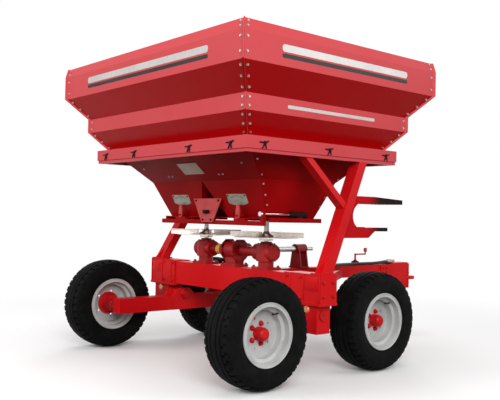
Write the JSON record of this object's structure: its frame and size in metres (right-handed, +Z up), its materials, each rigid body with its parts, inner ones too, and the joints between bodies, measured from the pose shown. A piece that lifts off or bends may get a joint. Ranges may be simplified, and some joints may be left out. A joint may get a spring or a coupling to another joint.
{
  "type": "twin-disc fertiliser spreader trailer",
  "caption": "Trailed fertiliser spreader with a folded hopper on legs, tandem wheels on rocking beams, dosing gates, spinning vaned discs, a drawbar and a screw jack.",
  "frame": {"origin": "bottom centre of the bounding box, on the ground", "axes": "+Y towards the hitch, +Z up, +X to the machine's right"},
  "size_m": [2.4668, 3.4134, 2.4315],
  "materials": {
    "red_paint": "gloss red enamel",
    "rim_paint": "light grey enamel",
    "dark_paint": "dark satin paint",
    "tyre_rubber": "black rubber",
    "steel": "turned steel",
    "stainless": "stainless sheet",
    "chrome": "hard chrome",
    "hose_rubber": "black hose cover"
  },
  "bodies": {
    "chassis": {"main_beam": "red_paint", "hopper_rail": "red_paint", "hopper_rear": "red_paint", "hopper_front": "red_paint", "hopper_left": "red_paint", "hopper_right": "red_paint", "hopper_base": "red_paint", "dosing_floor": "red_paint", "gate_cylinder": "dark_paint", "dosing_plates": "red_paint", "centre_gearbox": "red_paint", "shaft_stand": "red_paint", "drawbar": "red_paint", "drawbar_stays": "red_paint", "hitch_tongue": "red_paint", "jack_tube": "dark_paint", "access_step": "dark_paint", "hydraulic_hoses": "hose_rubber", "beam_end_left": "red_paint", "pivot_pin_left": "steel", "leg_left": "red_paint", "brace_left": "red_paint", "funnel_left": "red_paint", "gearbox_left": "red_paint", "beam_end_right": "red_paint", "pivot_pin_right": "steel", "leg_right": "red_paint", "brace_right": "red_paint", "funnel_right": "red_paint", "gearbox_right": "red_paint"},
    "rocker_left": {"rocker_left": "red_paint", "wheel_bearings_left": "steel"},
    "wheel_rear_left": {"tyre_rear_left": "tyre_rubber", "rim_rear_left": "rim_paint", "hub_rear_left": "red_paint"},
    "wheel_front_left": {"tyre_front_left": "tyre_rubber", "rim_front_left": "rim_paint", "hub_front_left": "red_paint"},
    "rocker_right": {"rocker_right": "red_paint", "wheel_bearings_right": "steel"},
    "wheel_rear_right": {"tyre_rear_right": "tyre_rubber", "rim_rear_right": "rim_paint", "hub_rear_right": "red_paint"},
    "wheel_front_right": {"tyre_front_right": "tyre_rubber", "rim_front_right": "rim_paint", "hub_front_right": "red_paint"},
    "disc_left": {"spindle_left": "steel", "disc_left": "stainless", "vanes_left": "stainless"},
    "disc_right": {"spindle_right": "steel", "disc_right": "stainless", "vanes_right": "stainless"},
    "cross_drive": {"cross_shaft": "steel"},
    "input_drive": {"input_shaft": "steel"},
    "gates": {"gate_bar": "red_paint", "gate_rod": "chrome"},
    "lever_left": {"dosing_lever_left": "red_paint"},
    "lever_right": {"dosing_lever_right": "red_paint"},
    "jack_crank": {"jack_crank": "steel"},
    "jack_leg": {"jack_leg": "steel"}
  },
  "joints": [
    {"name": "rocker_left_pivot", "type": "hinge", "parent": "chassis", "child": "rocker_left", "pos_m": [-0.75, -0.73325, 0.46], "axis": [1, 0, 0], "range_deg": [-8, 8]},
    {"name": "wheel_rear_left_spin", "type": "hinge", "parent": "rocker_left", "child": "wheel_rear_left", "pos_m": [-1.012, -1.32675, 0.38], "axis": [1, 0, 0], "continuous": true},
    {"name": "wheel_front_left_spin", "type": "hinge", "parent": "rocker_left", "child": "wheel_front_left", "pos_m": [-1.012, -0.13975, 0.38], "axis": [1, 0, 0], "continuous": true},
    {"name": "rocker_right_pivot", "type": "hinge", "parent": "chassis", "child": "rocker_right", "pos_m": [0.75, -0.73325, 0.46], "axis": [1, 0, 0], "range_deg": [-8, 8]},
    {"name": "wheel_rear_right_spin", "type": "hinge", "parent": "rocker_right", "child": "wheel_rear_right", "pos_m": [1.012, -1.32675, 0.38], "axis": [1, 0, 0], "continuous": true},
    {"name": "wheel_front_right_spin", "type": "hinge", "parent": "rocker_right", "child": "wheel_front_right", "pos_m": [1.012, -0.13975, 0.38], "axis": [1, 0, 0], "continuous": true},
    {"name": "disc_left_spin", "type": "hinge", "parent": "chassis", "child": "disc_left", "pos_m": [-0.397, -0.71325, 1.004], "axis": [0, 0, 1], "continuous": true},
    {"name": "disc_right_spin", "type": "hinge", "parent": "chassis", "child": "disc_right", "pos_m": [0.397, -0.71325, 1.004], "axis": [0, 0, 1], "continuous": true},
    {"name": "cross_spin", "type": "hinge", "parent": "chassis", "child": "cross_drive", "pos_m": [0, -0.71325, 0.885], "axis": [1, 0, 0], "continuous": true},
    {"name": "input_spin", "type": "hinge", "parent": "chassis", "child": "input_drive", "pos_m": [0, -0.71325, 0.885], "axis": [0, 1, 0], "continuous": true},
    {"name": "gate_slide", "type": "slide", "parent": "chassis", "child": "gates", "axis": [0, 1, 0], "range_m": [0, 0.08]},
    {"name": "lever_left_turn", "type": "hinge", "parent": "chassis", "child": "lever_left", "pos_m": [-0.384, -1.00325, 1.172], "axis": [0, 1, 0], "range_deg": [-41, 0]},
    {"name": "lever_right_turn", "type": "hinge", "parent": "chassis", "child": "lever_right", "pos_m": [0.384, -1.00325, 1.172], "axis": [0, 1, 0], "range_deg": [0, 41]},
    {"name": "crank_turn", "type": "hinge", "parent": "chassis", "child": "jack_crank", "pos_m": [-0.095, 0.90675, 0.815], "axis": [0, 0, 1], "range_deg": [-3600, 16800]},
    {"name": "jack_slide", "type": "slide", "parent": "chassis", "child": "jack_leg", "axis": [0, 0, 1], "range_m": [-0.0601, 0.2801]}
  ],
  "couplings": [
    {"joint": "disc_right_spin", "follows": "disc_left_spin", "ratio": -1},
    {"joint": "cross_spin", "follows": "disc_left_spin", "ratio": -0.66667},
    {"joint": "input_spin", "follows": "disc_left_spin", "ratio": 0.66667},
    {"joint": "lever_left_turn", "follows": "gate_slide", "rad_per_m": -8.727},
    {"joint": "lever_right_turn", "follows": "gate_slide", "rad_per_m": 8.727},
    {"joint": "jack_slide", "follows": "crank_turn", "m_per_rad": 0.00095493}
  ]
}
